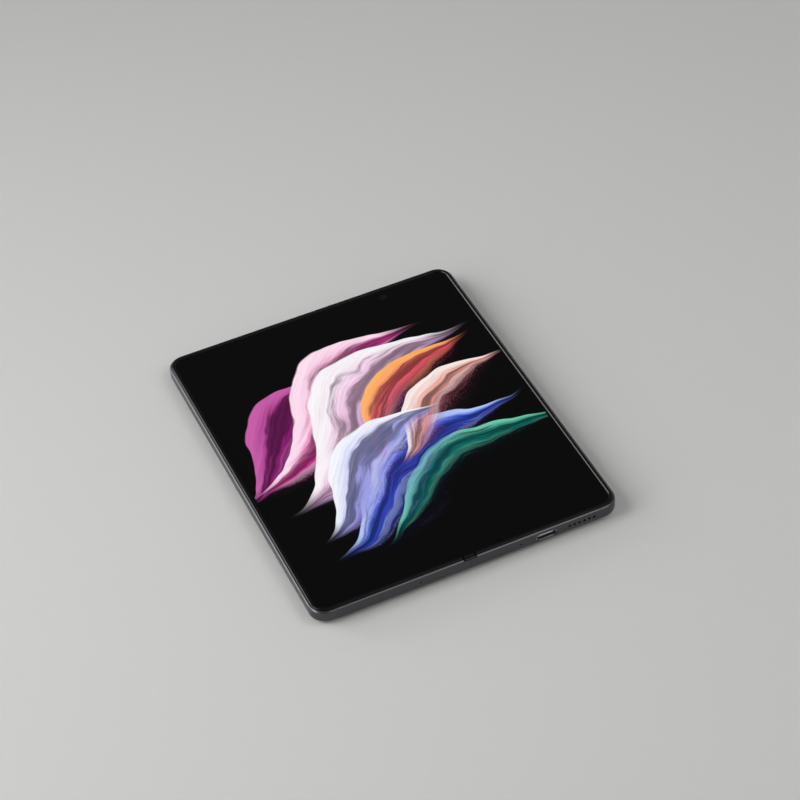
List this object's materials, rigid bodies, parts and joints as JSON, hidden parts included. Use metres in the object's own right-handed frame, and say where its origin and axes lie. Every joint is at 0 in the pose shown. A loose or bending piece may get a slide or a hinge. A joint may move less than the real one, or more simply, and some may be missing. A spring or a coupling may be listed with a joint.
{
  "type": "foldable smartphone",
  "caption": "Book-style foldable smartphone, open flat: two halves with one inner display across them, turning on a two-axis spine, with keys, card tray and rear cameras.",
  "frame": {"origin": "below the middle of the open phone, level with the face of the camera island, on which the phone lies", "axes": "+X across the open phone towards the half with the keys, +Y along the fold towards the phone's top, +Z out of the inner display"},
  "size_m": [0.1285, 0.1582, 0.0079],
  "materials": {
    "dark_aluminium": "anodised, satin",
    "bezel_plastic": "gloss black",
    "display": "polymer cover film, black when off",
    "steel_plate": "rolled",
    "hinge_steel": "ground",
    "screw_steel": "plain",
    "gear_steel": "cut",
    "matte_glass": "frosted, opaque black backing",
    "gloss_glass": "polished, opaque black backing",
    "window_glass": "polished",
    "flash_plastic": "moulded lens",
    "camera_metal": "black",
    "board": "solder resist",
    "shield": "tinned",
    "battery": "foil pouch",
    "copper": "bare copper winding",
    "socket_steel": "drawn",
    "black_plastic": "moulded",
    "switch": "moulded",
    "break_plastic": "moulded",
    "magnet": "nickel plated",
    "cable": "polyimide film"
  },
  "bodies": {
    "right_half": {"right_frame": "dark_aluminium", "right_bezel": "bezel_plastic", "right_display_panel": "display", "right_support_plate": "steel_plate", "right_wing_plate": "steel_plate", "right_hinge_brackets": "hinge_steel", "right_hinge_screws": "screw_steel", "rear_glass": "matte_glass", "camera_island": "dark_aluminium", "camera_windows": "window_glass", "rear_cameras": "camera_metal", "flash_lens": "flash_plastic", "display_camera": "camera_metal", "main_board": "board", "main_board_shield": "shield", "right_board_screws": "screw_steel", "right_battery": "battery", "charging_coil": "copper", "usb_socket": "socket_steel", "usb_board": "board", "bottom_speaker": "black_plastic", "vibration_motor": "socket_steel", "key_switches": "switch", "right_antenna_breaks": "break_plastic", "right_magnets": "magnet"},
    "spine": {"spine_cover": "dark_aluminium", "spine_end_caps": "bezel_plastic", "spine_brackets": "hinge_steel", "spine_screws": "screw_steel", "gear_shafts": "hinge_steel", "spring_washers": "hinge_steel", "display_fold_strip": "display", "fold_cables": "cable"},
    "left_half": {"left_frame": "dark_aluminium", "left_bezel": "bezel_plastic", "left_display_panel": "display", "left_support_plate": "steel_plate", "left_wing_plate": "steel_plate", "left_hinge_brackets": "hinge_steel", "left_hinge_screws": "screw_steel", "cover_glass": "gloss_glass", "cover_display_panel": "display", "cover_camera": "camera_metal", "left_board": "board", "left_board_screws": "screw_steel", "left_battery": "battery", "top_speaker": "black_plastic", "card_reader": "shield", "left_antenna_breaks": "break_plastic", "left_magnets": "magnet"},
    "right_pinion": {"right_pinion": "gear_steel"},
    "right_outer_idler": {"right_outer_idler": "gear_steel"},
    "right_inner_idler": {"right_inner_idler": "gear_steel"},
    "left_inner_idler": {"left_inner_idler": "gear_steel"},
    "left_outer_idler": {"left_outer_idler": "gear_steel"},
    "left_pinion": {"left_pinion": "gear_steel"},
    "power_key": {"power_key": "dark_aluminium"},
    "volume_rocker": {"volume_rocker": "dark_aluminium"},
    "card_tray": {"card_tray": "dark_aluminium"}
  },
  "joints": [
    {"name": "right_fold", "type": "hinge", "parent": "right_half", "child": "spine", "pos_m": [0.00217, 0, 0.00732], "axis": [0, 1, 0], "range_deg": [0, 90.7], "deforming": ["display_fold_strip", "fold_cables"]},
    {"name": "left_fold", "type": "hinge", "parent": "spine", "child": "left_half", "pos_m": [-0.00217, 0, 0.00732], "axis": [0, 1, 0], "range_deg": [0, 90.7]},
    {"name": "right_pinion_turn", "type": "hinge", "parent": "spine", "child": "right_pinion", "pos_m": [0.00424, 0, 0.00437], "axis": [0, 1, 0], "range_deg": [0, 295.28]},
    {"name": "right_outer_idler_turn", "type": "hinge", "parent": "spine", "child": "right_outer_idler", "pos_m": [0.00254, 0, 0.00437], "axis": [0, 1, 0], "range_deg": [-295.28, 0]},
    {"name": "right_inner_idler_turn", "type": "hinge", "parent": "spine", "child": "right_inner_idler", "pos_m": [0.00085, 0, 0.00437], "axis": [0, 1, 0], "range_deg": [0, 295.28]},
    {"name": "left_inner_idler_turn", "type": "hinge", "parent": "spine", "child": "left_inner_idler", "pos_m": [-0.00085, 0, 0.00437], "axis": [0, 1, 0], "range_deg": [-295.28, 0]},
    {"name": "left_outer_idler_turn", "type": "hinge", "parent": "spine", "child": "left_outer_idler", "pos_m": [-0.00254, 0, 0.00437], "axis": [0, 1, 0], "range_deg": [0, 295.28]},
    {"name": "left_pinion_turn", "type": "hinge", "parent": "spine", "child": "left_pinion", "pos_m": [-0.00424, 0, 0.00437], "axis": [0, 1, 0], "range_deg": [-295.28, 0]},
    {"name": "power_press", "type": "slide", "parent": "right_half", "child": "power_key", "axis": [-1, 0, 0], "range_m": [0, 0.00025], "stiffness_N_per_m": 800},
    {"name": "volume_press", "type": "slide", "parent": "right_half", "child": "volume_rocker", "axis": [-1, 0, 0], "range_m": [0, 0.00025], "stiffness_N_per_m": 800},
    {"name": "tray_slide", "type": "slide", "parent": "left_half", "child": "card_tray", "axis": [-1, 0, 0], "range_m": [0, 0.026]}
  ],
  "couplings": [
    {"joint": "left_fold", "follows": "right_fold", "ratio": 1},
    {"joint": "right_pinion_turn", "follows": "right_fold", "ratio": 3.25},
    {"joint": "right_outer_idler_turn", "follows": "right_fold", "ratio": -3.25},
    {"joint": "right_inner_idler_turn", "follows": "right_fold", "ratio": 3.25},
    {"joint": "left_inner_idler_turn", "follows": "right_fold", "ratio": -3.25},
    {"joint": "left_outer_idler_turn", "follows": "right_fold", "ratio": 3.25},
    {"joint": "left_pinion_turn", "follows": "right_fold", "ratio": -3.25}
  ]
}
